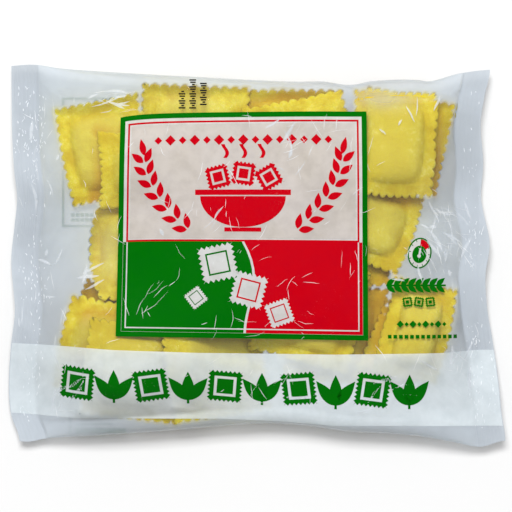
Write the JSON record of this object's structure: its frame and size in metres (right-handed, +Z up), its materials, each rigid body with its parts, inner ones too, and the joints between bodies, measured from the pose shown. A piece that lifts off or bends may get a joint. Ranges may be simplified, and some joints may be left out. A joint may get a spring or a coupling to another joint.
{
  "type": "bag of ravioli",
  "caption": "Shut clear pillow bag of loose square ravioli, with crimped end seals and a printed front, lying on its back.",
  "frame": {"origin": "centre of the bag's bounding box in plan, on the surface it lies on", "axes": "+X along the bag, from the left end seal to the right one as the printed side is read; +Y up the printed side; +Z up, out of the printed side"},
  "size_m": [0.2439, 0.1876, 0.0345],
  "materials": {
    "film": "clear thin film, glossy and creased, hazed in patches",
    "ravioli": "raw egg pasta, matt and floury",
    "print_green": "opaque green ink under glossy film",
    "print_red": "opaque red ink under glossy film",
    "print_white": "thin white ink under glossy film",
    "print_black": "thin black ink-jet marks"
  },
  "bodies": {
    "root": {"bag": "film"}
  },
  "joints": []
}
